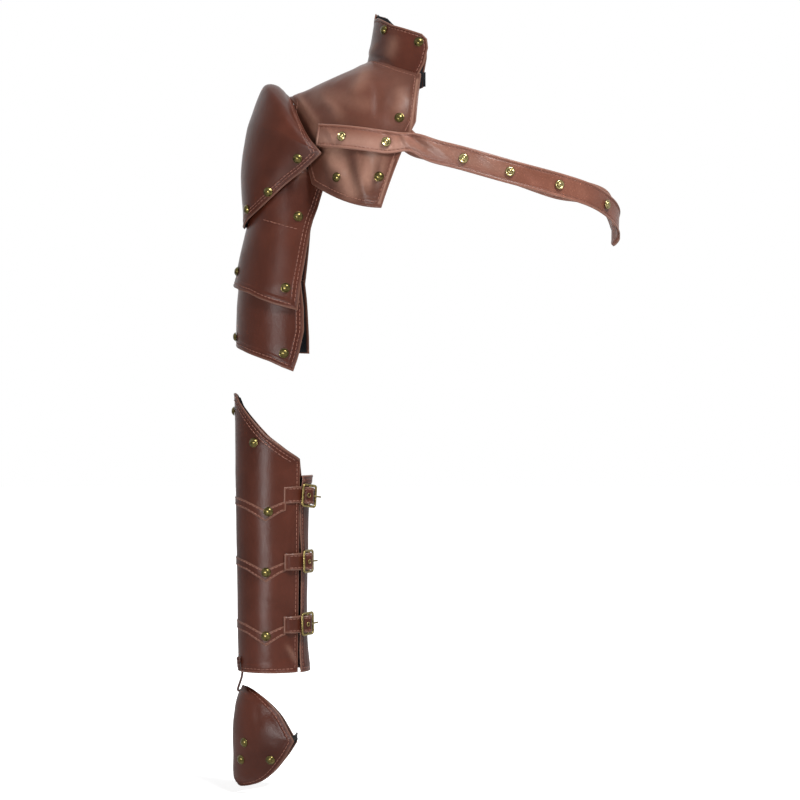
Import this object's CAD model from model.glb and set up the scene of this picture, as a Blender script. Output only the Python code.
import math

import bpy
import numpy as np
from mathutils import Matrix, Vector, kdtree, noise


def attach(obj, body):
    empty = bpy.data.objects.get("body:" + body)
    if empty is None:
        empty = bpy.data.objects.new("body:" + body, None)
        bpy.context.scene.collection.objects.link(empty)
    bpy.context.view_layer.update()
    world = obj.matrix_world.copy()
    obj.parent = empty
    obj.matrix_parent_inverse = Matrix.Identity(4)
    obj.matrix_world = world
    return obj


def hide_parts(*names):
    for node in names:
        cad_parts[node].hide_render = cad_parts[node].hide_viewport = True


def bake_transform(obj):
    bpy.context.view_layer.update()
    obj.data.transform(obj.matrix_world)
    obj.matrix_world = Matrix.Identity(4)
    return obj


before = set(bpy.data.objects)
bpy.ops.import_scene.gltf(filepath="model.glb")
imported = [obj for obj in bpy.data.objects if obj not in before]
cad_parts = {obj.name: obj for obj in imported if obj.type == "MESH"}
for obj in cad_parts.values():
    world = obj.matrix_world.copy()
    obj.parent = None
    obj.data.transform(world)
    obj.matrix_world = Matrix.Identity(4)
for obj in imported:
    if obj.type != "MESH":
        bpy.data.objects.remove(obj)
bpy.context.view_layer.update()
mm = 0.001
print("frame loaded:", len(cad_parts), "nodes")


# small helpers for pieces and nodes
def pick(*pieces):
    # picks these pieces alone, the first of them as the active one
    bpy.ops.object.select_all(action="DESELECT")
    for piece in pieces:
        piece.select_set(True)
    if pieces:
        bpy.context.view_layer.objects.active = pieces[0]


def named(name):
    piece = bpy.context.object
    piece.name = piece.data.name = name
    return piece


def corners(piece):
    co = np.empty(len(piece.data.vertices) * 3)
    piece.data.vertices.foreach_get("co", co)
    return co.reshape(-1, 3)


def placeCorners(piece, places):
    # moves the corners of a piece to places in millimetres
    piece.data.vertices.foreach_set("co", (places * mm).ravel())
    piece.data.update()


def giveMaterial(piece, material, angle=60):
    piece.data.materials.clear()
    piece.data.materials.append(material)
    pick(piece)
    bpy.ops.object.shade_smooth_by_angle(angle=math.radians(angle))
    return piece


def applyModifier(piece, kind, **values):
    pick(piece)
    modifier = piece.modifiers.new(kind.title(), kind)
    for key, value in values.items():
        setattr(modifier, key, value)
    bpy.ops.object.modifier_apply(modifier=modifier.name)


def joined(name, made):
    pick(*made)
    if len(made) > 1:
        bpy.ops.object.join()
    whole = bpy.context.view_layer.objects.active
    whole.name = whole.data.name = name
    return whole


def feed(tree, node, inputs):
    # each input takes a value, or a wire from the output that is given for it
    for key, value in inputs.items():
        if isinstance(value, bpy.types.NodeSocket):
            tree.links.new(value, node.inputs[key])
        else:
            node.inputs[key].default_value = value
    return node


def addNode(tree, kind, inputs, **options):
    node = tree.nodes.new("ShaderNode" + kind)
    for key, value in options.items():
        setattr(node, key, value)
    return feed(tree, node, inputs)


def grey(value):
    return (value, value, value, 1)


# camera, level, at the height of the middle of the picture
cameraSettings = {"x": 0.112, "away": 2.6, "z": -0.26, "lens": 117.0, "sensor": 36.0, "middlePixel": 400}
pick()
bpy.ops.object.camera_add(location=(cameraSettings["x"], -cameraSettings["away"], cameraSettings["z"]),
                          rotation=(math.pi / 2, 0, 0))
camera = bpy.context.object
camera.data.lens = cameraSettings["lens"]
camera.data.sensor_width = cameraSettings["sensor"]
bpy.context.scene.camera = camera
bpy.context.scene.view_settings.view_transform = "Standard"

# soft studio light
lightSettings = {
    "key": {"at": (1.1, -1.45, 1.85), "power": 126.0, "size": 1.0, "tall": 0.8},
    "strip": {"at": (-1.0, -2.45, -0.42), "power": 44.0, "size": 0.75, "tall": 0.3},
    "rim": {"at": (-1.6, 1.2, 0.9), "power": 1.0, "size": 1.0, "tall": 1.0}}
lightAim = (0.02, 0.0, -0.2)
for lampName, lampSettings in lightSettings.items():
    bpy.ops.object.light_add(type="AREA", location=lampSettings["at"])
    lamp = bpy.context.object
    lamp.name = lampName
    lamp.data.energy = lampSettings["power"]
    lamp.data.shape = "RECTANGLE"
    lamp.data.size = lampSettings["size"]
    lamp.data.size_y = lampSettings["tall"]
    aim = Vector(lightAim) - Vector(lampSettings["at"])
    lamp.rotation_euler = aim.to_track_quat("-Z", "Y").to_euler()

# a world that looks white and lights a little
worldSettings = {"seen": 1.0, "light": 0.12}
world = bpy.data.worlds.new("studio")
bpy.context.scene.world = world
world.use_nodes = True
studio = world.node_tree
studio.nodes.clear()
rays = addNode(studio, "LightPath", {}).outputs
rayKind = rays["Is Camera Ray"]
for rayName in ("Is Glossy Ray", "Is Transmission Ray"):
    rayKind = addNode(studio, "Math", {0: rayKind, 1: rays[rayName]}, operation="MAXIMUM").outputs[0]
glows = {key: addNode(studio, "Background", {"Strength": strength, "Color": grey(1)}).outputs[0]
         for key, strength in worldSettings.items()}
worldMix = addNode(studio, "MixShader", {0: rayKind, 1: glows["light"], 2: glows["seen"]})
addNode(studio, "OutputWorld", {"Surface": worldMix.outputs[0]})


# materials
def newMaterial(name):
    material = bpy.data.materials.new(name)
    material.use_nodes = True
    tree = material.node_tree
    return material, tree, next(n for n in tree.nodes if n.type == "BSDF_PRINCIPLED")


def objectPlace(tree):
    return addNode(tree, "TexCoord", {}).outputs["Object"]


def noiseOf(tree, coords, scale, detail, rough, distort=0.0):
    values = {"Scale": scale, "Detail": detail, "Roughness": rough, "Distortion": distort, "Vector": coords}
    return addNode(tree, "TexNoise", values).outputs["Fac"]


def rampOf(tree, source, stops):
    ramp = addNode(tree, "ValToRGB", {"Fac": source})
    steps = ramp.color_ramp.elements
    while len(steps) > 1:
        steps.remove(steps[-1])
    steps[0].position, steps[0].color = stops[0]
    for place, colour in stops[1:]:
        steps.new(place).color = colour
    return ramp.outputs["Color"]


def toneOf(tree, source, look, places):
    return rampOf(tree, source, [(places[key], (*look[key], 1)) for key in places])


def mapRange(tree, source, to, span=(0.0, 1.0)):
    values = {"From Min": span[0], "From Max": span[1], "To Min": to[0], "To Max": to[1], "Value": source}
    return addNode(tree, "MapRange", values).outputs["Result"]


def bumpOf(tree, height, strength, deep, **under):
    values = {"Strength": strength, "Distance": deep, "Height": height, **under}
    return addNode(tree, "Bump", values).outputs["Normal"]


floorSettings = {"size": 14, "y": 2, "z": -0.652, "paper": 0.9, "glowAt": (0, -2, 0), "glowSpan": (0.35, 2.2),
                 "glow": (0.75, 1.0)}


def whiteFloor(s):
    # white paper that also glows for the camera alone, more with distance
    material, tree, shader = newMaterial("paper")
    feed(tree, shader, {"Base Color": grey(s["paper"]), "Roughness": s["paper"]})
    span = {0: objectPlace(tree), 1: s["glowAt"]}
    away = addNode(tree, "VectorMath", span, operation="DISTANCE").outputs["Value"]
    glow = addNode(tree, "Emission", {"Strength": mapRange(tree, away, s["glow"], s["glowSpan"])}).outputs[0]
    dark = addNode(tree, "Emission", {"Strength": 0.0}).outputs[0]
    seen = addNode(tree, "LightPath", {}).outputs["Is Camera Ray"]
    choose = addNode(tree, "MixShader", {0: seen, 1: dark, 2: glow}).outputs[0]
    total = addNode(tree, "AddShader", {0: choose, 1: shader.outputs[0]}).outputs[0]
    feed(tree, next(n for n in tree.nodes if n.type == "OUTPUT_MATERIAL"), {"Surface": total})
    return material


pick()
floorAt = (0, floorSettings["y"], floorSettings["z"])
bpy.ops.mesh.primitive_plane_add(size=floorSettings["size"], location=floorAt)
floor = bpy.context.object
floor.name = "floor"
floor.data.materials.append(whiteFloor(floorSettings))
print("camera, lights and floor set")

leatherLook = {"tone": {"dark": 0.3, "middle": 0.52, "light": 0.72}, "rubScale": 260, "rub": (0.4, 0.62),
               "sheenScale": 55, "cellEdge": 0.18, "poreScale": 1500, "pores": 0.6, "foldDeep": 0.0015,
               "grainDeep": 0.00012}


def leatherMaterial(name, look):
    s = leatherLook
    material, tree, shader = newMaterial(name)
    coords = objectPlace(tree)
    tone = toneOf(tree, noiseOf(tree, coords, look["cloudScale"], 5, 0.6, 0.4), look, s["tone"])
    wear = addNode(tree, "Attribute", {}, attribute_name="wear").outputs["Fac"]
    rub = mapRange(tree, noiseOf(tree, coords, s["rubScale"], 3, 0.6), s["rub"])
    rubbedShare = addNode(tree, "Math", {0: wear, 1: rub}, operation="MULTIPLY").outputs[0]
    colours = {"Factor": rubbedShare, 6: tone, 7: (*look["worn"], 1)}
    worn = addNode(tree, "Mix", colours, data_type="RGBA").outputs[2]
    gloss = mapRange(tree, noiseOf(tree, coords, s["sheenScale"], 4, 0.6), look["gloss"])
    cell = {"Scale": look["grainScale"], "Vector": coords}
    edge = addNode(tree, "TexVoronoi", cell, feature="DISTANCE_TO_EDGE").outputs["Distance"]
    pebble = rampOf(tree, edge, [(0.0, grey(0)), (s["cellEdge"], grey(1))])
    pores = {0: noiseOf(tree, coords, s["poreScale"], 3, 0.6), 1: s["pores"], 2: pebble}
    grain = addNode(tree, "Math", pores, operation="MULTIPLY_ADD").outputs[0]
    wrinkle = noiseOf(tree, coords, look["wrinkleScale"], 3, 0.5, 0.8)
    folds = bumpOf(tree, wrinkle, look["wrinkle"], s["foldDeep"])
    bump = bumpOf(tree, grain, look["grain"], s["grainDeep"], Normal=folds)
    feed(tree, shader, {"Base Color": worn, "Roughness": gloss, "Normal": bump,
                        "Specular IOR Level": look["shine"]})
    return material


clothLook = {"wave": 0.314, "unrest": 0.6, "fuzzScale": 900, "gloss": (0.75, 0.98), "weave": 0.5,
             "deep": 0.0002, "shine": 0.08, "tone": {"dark": 0.0, "light": 1.0}}


def clothMaterial(name, look):
    s = clothLook
    material, tree, shader = newMaterial(name)
    coords = objectPlace(tree)
    wave = {"Scale": s["wave"] / look["pitch"], "Distortion": s["unrest"], "Vector": coords}
    threads = [addNode(tree, "TexWave", wave, bands_direction=axis).outputs["Fac"] for axis in ("X", "Z")]
    weave = addNode(tree, "Math", {0: threads[0], 1: threads[1]}, operation="MULTIPLY").outputs[0]
    gloss = mapRange(tree, noiseOf(tree, coords, s["fuzzScale"], 3, 0.6), s["gloss"])
    bump = bumpOf(tree, weave, s["weave"], s["deep"])
    tone = toneOf(tree, weave, look, s["tone"])
    feed(tree, shader, {"Base Color": tone, "Roughness": gloss, "Normal": bump,
                        "Specular IOR Level": s["shine"]})
    return material


brassLook = {"tone": {"dark": 0.35, "middle": 0.55, "light": 0.75}, "tarnishScale": 420, "scratchScale": 1900,
             "scratch": 0.05, "deep": 0.0001}


def brassMaterial(name, look):
    s = brassLook
    material, tree, shader = newMaterial(name)
    coords = objectPlace(tree)
    tarnish = noiseOf(tree, coords, s["tarnishScale"], 5, 0.65)
    bump = bumpOf(tree, noiseOf(tree, coords, s["scratchScale"], 2, 0.5), s["scratch"], s["deep"])
    feed(tree, shader, {"Base Color": toneOf(tree, tarnish, look, s["tone"]), "Metallic": 1.0, "Normal": bump,
                        "Roughness": mapRange(tree, tarnish, look["gloss"])})
    return material


finishes = {
    "brown": {"dark": (0.032, 0.0068, 0.0032), "middle": (0.046, 0.0112, 0.0058),
        "light": (0.06, 0.0155, 0.0088), "worn": (0.3, 0.165, 0.12), "cloudScale": 16, "grainScale": 620,
        "wrinkleScale": 70, "wrinkle": 0.14, "grain": 0.3, "gloss": (0.26, 0.36), "shine": 0.15},
    "strap": {"dark": (0.105, 0.036, 0.021), "middle": (0.122, 0.042, 0.026), "light": (0.17, 0.066, 0.043),
        "worn": (0.33, 0.2, 0.155), "cloudScale": 22, "grainScale": 700, "wrinkleScale": 90, "wrinkle": 0.2,
        "grain": 0.35, "gloss": (0.28, 0.4), "shine": 0.24},
    "lace": {"dark": (0.03, 0.009, 0.006), "middle": (0.042, 0.013, 0.009), "light": (0.06, 0.02, 0.014),
        "worn": (0.14, 0.055, 0.04), "cloudScale": 60, "grainScale": 900, "wrinkleScale": 200,
        "wrinkle": 0.3, "grain": 0.4, "gloss": (0.4, 0.55), "shine": 0.3},
    "thread": {"dark": (0.1, 0.035, 0.022), "middle": (0.15, 0.057, 0.038), "light": (0.21, 0.09, 0.06),
        "worn": (0.3, 0.14, 0.1), "cloudScale": 90, "grainScale": 2500, "wrinkleScale": 900, "wrinkle": 0.2,
        "grain": 0.3, "gloss": (0.45, 0.6), "shine": 0.35},
    "brass": {"dark": (0.05, 0.04, 0.013), "middle": (0.1, 0.08, 0.028), "light": (0.2, 0.16, 0.065),
        "gloss": (0.2, 0.3)},
    "frameBrass": {"dark": (0.1, 0.075, 0.025), "middle": (0.22, 0.17, 0.065), "light": (0.42, 0.34, 0.15),
        "gloss": (0.2, 0.4)},
    "lining": {"dark": (0.006, 0.006, 0.007), "light": (0.02, 0.02, 0.022), "pitch": 0.0012},
    "elastic": {"dark": (0.004, 0.004, 0.004), "light": (0.022, 0.022, 0.022), "pitch": 0.0016},
    "studBrass": {"dark": (0.14, 0.11, 0.045), "middle": (0.3, 0.25, 0.115), "light": (0.5, 0.43, 0.23),
        "gloss": (0.15, 0.3)}}
brownLeather = leatherMaterial("brown leather", finishes["brown"])
strapLeather = leatherMaterial("strap leather", finishes["strap"])
laceLeather = leatherMaterial("lace leather", finishes["lace"])
threadMaterial = leatherMaterial("waxed thread", finishes["thread"])
blackCloth = clothMaterial("black lining", finishes["lining"])
elasticCloth = clothMaterial("black elastic", finishes["elastic"])
agedBrass = brassMaterial("aged brass", finishes["brass"])
frameBrass = brassMaterial("buckle brass", finishes["frameBrass"])
studBrass = brassMaterial("rubbed brass", finishes["studBrass"])
print("materials made")


# lines and shapes that the leather follows, in millimetres
def unit(v):
    return v / np.linalg.norm(v, axis=-1, keepdims=True)


def bell(x, wide):
    return np.exp(-(x / wide) ** 2)


def smoothStep(x):
    x = np.clip(x, 0, 1)
    return x * x * (3 - 2 * x)


def runOf(line):
    # how far along a line each of its places lies
    return np.concatenate([[0], np.cumsum(np.linalg.norm(np.diff(line, axis=0), axis=1))])


def placesAt(line, run, at):
    return np.stack([np.interp(at, run, column) for column in line.T], 1)


def curveAt(points, u):
    p = np.asarray(points, float)
    u = np.atleast_1d(np.asarray(u, float))
    last = len(p) - 1
    i = np.minimum(np.floor(u * last), last - 1).astype(int)
    f = (u * last - i)[:, None]
    a, b, c, d = p[np.maximum(i - 1, 0)], p[i], p[i + 1], p[np.minimum(i + 2, last)]
    curve = 2 * b + (c - a) * f + (2 * a - 5 * b + 4 * c - d) * f ** 2 + (3 * b - a - 3 * c + d) * f ** 3
    return 0.5 * curve


def lookUp(table, x):
    table = np.asarray(table, float)
    return np.interp(x, table[:, 0], table[:, 1])


def stack(x, y, z):
    return np.stack(np.broadcast_arrays(x, y, z), -1).astype(float)


yokeShape = {"top": 75.5, "fall": 34, "highX": 84, "slope": 80, "depth": 95, "chestDrop": 75, "backDrop": 45,
             "nearX": 95, "sag": 0.0055, "pull": 0.0086, "round": (2.16, 3.15), "rise": 18, "hang": 0.75,
             "neckX": 142, "neckR": 63, "lean": 0.17, "neckT": 0.42, "endX": 132.5, "inset": 2.05,
             "frontEdge": [[0.42, 132.5], [0.7, 127.5], [0.8, 116], [1, 94]],
             "backEdge": [[0.42, 132.5], [0.7, 122], [0.8, 114], [1, 92]],
             "armX": 4, "armT": 0.44, "armStep": 0.12, "armFar": 26,
             "under": [(1.7, 0, 0.3), (2.4, 0.25, 0.12)]}


def archPoint(x, t):
    # the arch over the shoulder: t runs from the back flap's end at -1 to the chest flap's end at 1
    s = yokeShape
    a = np.abs(t)
    b = 1 - a
    top = s["top"] - s["fall"] * np.maximum(0, (s["highX"] - x) / s["slope"])
    drop = np.where(t < 0, s["backDrop"], s["chestDrop"])
    near = np.maximum(0, s["nearX"] - x)
    h = top - (-drop + s["sag"] * near ** 2)
    first, second = s["round"]
    y = -np.sign(t) * (s["depth"] - s["pull"] * near ** 2) * (first * b * b * a + second * b * a * a + a ** 3)
    return stack(x, y, top + s["rise"] * b * b * a - s["hang"] * b * a * a * h - a ** 3 * h)


def collarRadius(z):
    return yokeShape["neckR"] - yokeShape["lean"] * (z - yokeShape["top"])


def neckSeamX(t, inset):
    x = np.full(np.shape(t), 100.0)
    for turn in range(9):
        p = archPoint(x, t)
        r = collarRadius(p[..., 2]) - inset
        x = yokeShape["neckX"] - np.sqrt(np.maximum(0, r * r - p[..., 1] ** 2))
    return np.minimum(x, yokeShape["endX"])


def yokePoint(u, v):
    s = yokeShape
    t = 2 * u - 1
    a = np.abs(t)
    edge = np.where(t < 0, lookUp(s["backEdge"], a), lookUp(s["frontEdge"], a))
    inner = np.where(a <= s["neckT"], neckSeamX(np.clip(t, -s["neckT"], s["neckT"]), s["inset"]), edge)
    under = sum(high * bell(t - at, wide) for high, at, wide in s["under"])
    step = np.clip((t - s["armT"]) / s["armStep"], 0, 1)
    arm = s["armX"] - s["armX"] * step + s["armFar"] * a ** 2.5 - under
    return archPoint(arm + (inner - arm) * v, t)


capShape = {
    "ridge": [[-0.5, 0, 43.5], [-6.3, 0, 51], [-12, 0, 54.5], [-19, 0, 55.4], [-24.5, 0, 52.5], [-30, 0, 42],
        [-36.4, 0, 25], [-40.5, 0, 12], [-43.8, 0, -7], [-46.5, 0, -30], [-46.7, 0, -45], [-45.4, 0, -65],
        [-44.6, 0, -80], [-44.4, 0, -88]],
    "high": [[3, 7, 40.5], [8.5, 30, 26.5], [15.5, 50, 10], [23.5, 65, -5], [36, 74, -20.5]],
    "low": [[36, 74, -20.5], [18, 65, -36], [2, 57, -48], [-12, 50.5, -60], [-27, 41, -73],
        [-38.5, 25.5, -82], [-44, 6, -89]], "backFall": [[0, 0], [1, 0]]}
guardShape = {
    "ridge": [[-44.5, 0, -544.5], [-47, 0, -548], [-49.7, 0, -553], [-52.8, 0, -565], [-54.6, 0, -582],
        [-55, 0, -600], [-55, 0, -632], [-53, 0, -640], [-48, 0, -645]],
    "high": [[-40, 6, -546], [-33, 15, -548.5], [-24.5, 25, -553.5], [-15.5, 32, -560.5], [-6.3, 36, -570.5],
        [2, 40, -585], [8, 42, -596]],
    "low": [[8, 42, -596], [-0.5, 39, -611], [-13.5, 30, -628.7], [-25, 21, -638], [-37.3, 12, -643],
        [-46, 4, -645]], "backFall": [[0, 0.31], [0.35, 0.3], [0.5, 0.262], [0.65, 0.21], [1, 0.2]]}


def kitePoint(shape, u, v):
    a = np.radians(180 * v - 90)
    c = curveAt(shape["ridge"], u)
    e = np.where((u < 0.5)[:, None], curveAt(shape["high"], np.clip(2 * u, 0, 1)),
                 curveAt(shape["low"], np.clip(2 * u - 1, 0, 1)))
    k = 1 - np.cos(a)
    y = -e[:, 1] * np.sin(a)
    return stack(c[:, 0] + (e[:, 0] - c[:, 0]) * k, y,
                 c[:, 2] + (e[:, 2] - c[:, 2]) * k - lookUp(shape["backFall"], u) * np.maximum(0, y))


def capPoint(u, v):
    return kitePoint(capShape, u, v)


def guardPoint(u, v):
    return kitePoint(guardShape, u, v)


plateShape = {"r": 53.5, "deep": 54, "lowIn": 3.35, "gap": 0.5, "upperTop": 45, "upperFall": 125,
    "lowerTop": 138, "frontFall": 94, "backFall": 74, "peak": 4, "leftX": 40.3, "swell": (85, 58.6, 0.9),
    "backRise": 0.12, "narrowZ": 56, "narrow": 92, "topIn": 6, "topDeep": 4,
    "upperFront": [[40, 134], [56, 131], [77, 125], [99, 116], [114, 112], [139, 107], [173, 101]],
    "upperBack": [[40, 128], [99, 112], [173, 104]],
    "upperLow": [[0, -146], [24, -149.5], [49, -155], [61, -160], [78, -166], [104, -173]],
    "upperHigh": [[0, -48], [60, -41], [90, -29], [134, -39]],
    "lowerLeft": [[120, -47.5], [138, -48.9], [150, -49.8], [168, -51.4], [196, -52], [206, -51.2],
        [235, -50]], "lowerFront": [[138, 107], [150, 108], [169, 110], [191, 110], [216, 104], [233, 98]],
    "lowerBack": [[138, 108], [156, 110], [214, 113]],
    "lowerLowFront": [[0, -206], [30, -211], [55, -217.5], [71, -222], [86, -228], [104, -234]],
    "lowerLowBack": [[0, -206], [30, -209], [60, -211], [113, -213]]}


def upperPoint(u, v):
    s = plateShape
    z0 = -s["upperTop"] - s["upperFall"] * u
    back, front = lookUp(s["upperBack"], -z0), lookUp(s["upperFront"], -z0)
    a = -back + (front + back) * v
    low = lookUp(s["upperLow"], np.abs(a)) + np.where(a < 0, s["backRise"] * np.minimum(-a, 100), 0)
    high = lookUp(s["upperHigh"], np.abs(a))
    z = high + (low - high) * u
    start, span, power = s["swell"]
    left = -s["leftX"] - (s["r"] - s["leftX"]) * np.maximum(0, (-z - start) / span) ** power
    share = np.maximum(0, 1 + (z + s["narrowZ"]) / s["narrow"])
    middle = s["topIn"] * share
    deep = s["deep"] - s["topDeep"] * share
    a = np.radians(a)
    return stack(middle - (middle - left) * np.cos(a), -deep * np.sin(a), z)


def lowerPoint(u, v):
    s = plateShape
    z0 = -s["lowerTop"] - np.where(v > 0.5, s["frontFall"], s["backFall"]) * u
    back, front = lookUp(s["lowerBack"], -z0), lookUp(s["lowerFront"], -z0)
    a = -back + (front + back) * v
    low = np.where(a > 0, lookUp(s["lowerLowFront"], a), lookUp(s["lowerLowBack"], -a))
    a = np.radians(a)
    high = -s["lowerTop"] - s["peak"] * np.maximum(0, np.cos(a))
    z = high + (low - high) * u
    return stack(lookUp(s["lowerLeft"], -z) * np.cos(a), -(s["deep"] - s["gap"] - s["lowIn"]) * np.sin(a), z)


bracerShape = {"x": -15.5, "topR": 38, "lowR": 34, "low": -530, "peak": -253, "frontA": 40, "backA": 394,
    "outlineR": 36.5, "flapZ": -334, "flapTop": -334.6, "flapA": 316, "frontFall": 0.07, "flareA": 335,
    "flareSpan": 25, "flares": [(3, -336, 14), (3.2, -530, 22)], "belts": (-420, -480), "beltSpan": 40,
    "beltA": 5, "frontDeep": 36,
    "outline": [[-49.5, -253], [-46, -262], [-38.7, -272.6], [-29.2, -284.4], [-20, -294.5], [-10.8, -301.7],
        [-1.5, -309], [7.5, -315], [13.5, -320], [15.5, -334], [22, -342], [30, -344]]}


def bracerRadius(z):
    s = bracerShape
    return s["lowR"] + (s["topR"] - s["lowR"]) * (z - s["low"]) / (s["peak"] - s["low"])


def roundBracer(r, a, z):
    return stack(bracerShape["x"] + r * np.cos(a), -r * np.sin(a), z)


def bracerPoint(u, v):
    s = bracerShape
    rough = s["flapZ"] + (s["low"] - s["flapZ"]) * u
    upper, lower = (rough - s["belts"][0]) / s["beltSpan"], (s["belts"][1] - rough) / s["beltSpan"]
    back = s["backA"] + s["beltA"] * smoothStep(upper) + s["beltA"] * smoothStep(lower)
    a = np.radians(back + (s["frontA"] - back) * v)
    high = lookUp(s["outline"], s["x"] + s["outlineR"] * np.cos(a))
    high = np.where(np.degrees(a) > s["flapA"], s["flapTop"], high)
    high = high - s["frontFall"] * np.maximum(0, -s["frontDeep"] * np.sin(a))
    z = high + (s["low"] - high) * u
    flare = sum(wide * bell(z - at, tall) for wide, at, tall in s["flares"])
    flare = flare * smoothStep((np.degrees(a) - s["flareA"]) / s["flareSpan"])
    return roundBracer(bracerRadius(z) + flare, a, z)


collarShape = {"seam": 2.55, "footLift": 0.9, "frontFoot": [129.5, 56.5], "backFoot": [138.5, 62],
    "topFoot": [74, 72.5],
    "frontTop": [[74, 124.5], [81, 121.5], [90, 119], [103, 109.5], [133.5, 98], [138.5, 93]],
    "backTop": [[74, 124.5], [84, 126.5], [97, 127], [104, 121.5], [134, 110], [140, 106]],
    "frontEnd": [[56.5, 129.5], [68, 135.5], [84, 139.5], [93, 138.5]],
    "backEnd": [[62, 136.6], [76, 137], [90, 139.5]]}


def collarFoot(side):
    s = collarShape
    t = side * yokeShape["neckT"] * np.arange(8 if side > 0 else 9) / 8
    x = neckSeamX(t, s["seam"])
    end = s["frontFoot"] if side > 0 else s["backFoot"]
    return np.concatenate([[s["topFoot"]], np.stack([x, archPoint(x, t)[:, 2] - s["footLift"]], 1), [end]])


collarFeet = {1: collarFoot(1), -1: collarFoot(-1)}


def collarPoint(u, v):
    s = collarShape
    z = np.full(np.shape(v), 95.0)
    for turn in range(6):
        far = np.array([lookUp(s["backEnd"], z), lookUp(s["frontEnd"], z)])
        turned = np.degrees(np.arccos(np.clip((yokeShape["neckX"] - far) / collarRadius(z), -1, 1)))
        a = -turned[0] + (turned[1] + turned[0]) * v
        rad = np.radians(a)
        x = yokeShape["neckX"] - collarRadius(z) * np.cos(rad)
        low = np.where(a > 0, lookUp(collarFeet[1], x), lookUp(collarFeet[-1], x))
        high = np.where(a > 0, lookUp(s["frontTop"], x), lookUp(s["backTop"], x))
        z = high + (low - high) * u
    r = collarRadius(z)
    return stack(yokeShape["neckX"] - r * np.cos(rad), -r * np.sin(rad), z)


def archMove(x, t, dx, dt):
    return archPoint(x + dx, t + dt) - archPoint(x, t)


def onYoke(x, t, lift):
    # the place on the yoke, lifted off it, and the direction up the yoke
    along, down = archMove(x, t, 0.5, 0), archMove(x, t, 0, 0.01)
    up = archMove(x, t, 0, -0.01 * np.sign(t))
    return archPoint(x, t) + lift * unit(np.cross(down, along)), unit(up)


def heightToT(x, z, side):
    t = np.linspace(0.05, 1, 400) * side
    return float(np.interp(-z, -archPoint(x, t)[:, 2], t))


strapShape = {"wide": 23, "lift": 0.6, "face": 1.6, "pinch": 4.5, "pinchX": 120, "pinchWide": 13,
    "front": [[32, -1.6], [45, -3.4], [57.3, -5.2], [78, -8.5], [98.6, -11.8], [112, -13.4]],
    "round": [[128, -97.5, -15], [147, -101.5, -21.5], [173, -104, -28.3], [218, -103, -41],
        [266, -88, -52.4], [298, -66, -61], [318, -40, -71], [327.5, -20, -80], [329, -4, -88],
        [325, 12, -94], [327, 36, -79], [320.5, 60, -57], [300, 77, -46], [272, 88, -40], [224, 101, -22],
        [178, 102, -8], [150, 100, -1.5], [128, 97.5, 4]],
    "back": [[112, -0.74], [97, -0.735], [78, -0.73], [54, -0.72], [40, -0.715], [28, -0.71]]}
strapFront = [onYoke(x, heightToT(x, z, 1), strapShape["lift"]) for x, z in strapShape["front"]]
strapBack = [onYoke(x, t, strapShape["lift"]) for x, t in strapShape["back"]]
strapRound = [(place, [0, 0, 1]) for place in strapShape["round"]]
strapRun, strapUp = (np.array([q[k] for q in strapFront + strapRound + strapBack]) for k in (0, 1))


def strapFrame(u):
    # middle of the strap, the direction across it (upwards) and out of its face
    middle = curveAt(strapRun, u)
    along = unit(curveAt(strapRun, np.minimum(u + 0.005, 1)) - curveAt(strapRun, np.maximum(u - 0.005, 0)))
    up = curveAt(strapUp, u)
    across = unit(up - along * (along * up).sum(1, keepdims=True))
    return middle, across, np.cross(along, across)


def strapPoint(u, v):
    s = strapShape
    middle, across, out = strapFrame(v)
    pinch = s["pinch"] * bell(middle[:, 0] - s["pinchX"], s["pinchWide"]) * (middle[:, 1] < 0)
    wide = (0.5 - u) * s["wide"] + pinch * np.clip(2 * u - 1, 0, 1)
    return middle + across * wide[:, None] + out * s["face"]


# making leather from a shape
edgeSteps = [0, 0.35, 0.8, 1.3, 1.9, 2.5, 3.0, 3.4, 3.9, 4.6, 5.4, 6.2, 6.9, 7.4, 7.9, 8.4, 9.2]


def spread(length, step, edges=True):
    # places across a panel in millimetres, closer together by its edges
    if not edges:
        return np.linspace(0, 1, max(2, int(length / step)) + 1)
    edge = edgeSteps[-1]
    inner = np.linspace(edge, length - edge, max(2, int((length - 2 * edge) / step)) + 1)[1:-1]
    steps = np.asarray(edgeSteps)
    return np.concatenate([steps, inner, length - steps[::-1]]) / length


def softNoise(points, scale, seed):
    shift = Vector((seed * 3.7, seed * 1.3, seed * 2.1))
    return np.array([noise.noise(Vector(p) * scale + shift) for p in points])


def lineDistance(points, line):
    # distance to a broken line and how far along it the nearest place is
    line = np.asarray(line, float)
    best = np.full(len(points), 1e9)
    along = np.zeros(len(points))
    lengths = np.linalg.norm(np.diff(line, axis=0), axis=1)
    total = lengths.sum()
    done = 0.0
    for a, b, size in zip(line[:-1], line[1:], lengths):
        f = np.clip(((points - a) @ (b - a)) / size ** 2, 0, 1)
        d = np.linalg.norm(points - (a + f[:, None] * (b - a)), axis=1)
        closer = d < best
        best[closer] = d[closer]
        along[closer] = ((done + f * size) / total)[closer]
        done += size
    return best, along


def seenFrom(points):
    # where places in millimetres show in the picture, in its pixels
    c = cameraSettings
    k = (c["away"] + points[:, 1] * mm) / c["away"]
    return np.stack([c["middlePixel"] + (points[:, 0] - c["x"] / mm) / k,
                     c["middlePixel"] - (points[:, 2] - c["z"] / mm) / k], 1)


def drawnShare(flat, line, wide):
    # how strongly a line drawn in the picture acts on the side of a panel that shows, and how far along it
    away, along = lineDistance(seenFrom(flat), line)
    return bell(away, wide) * (flat[:, 1] < 0), along


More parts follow.
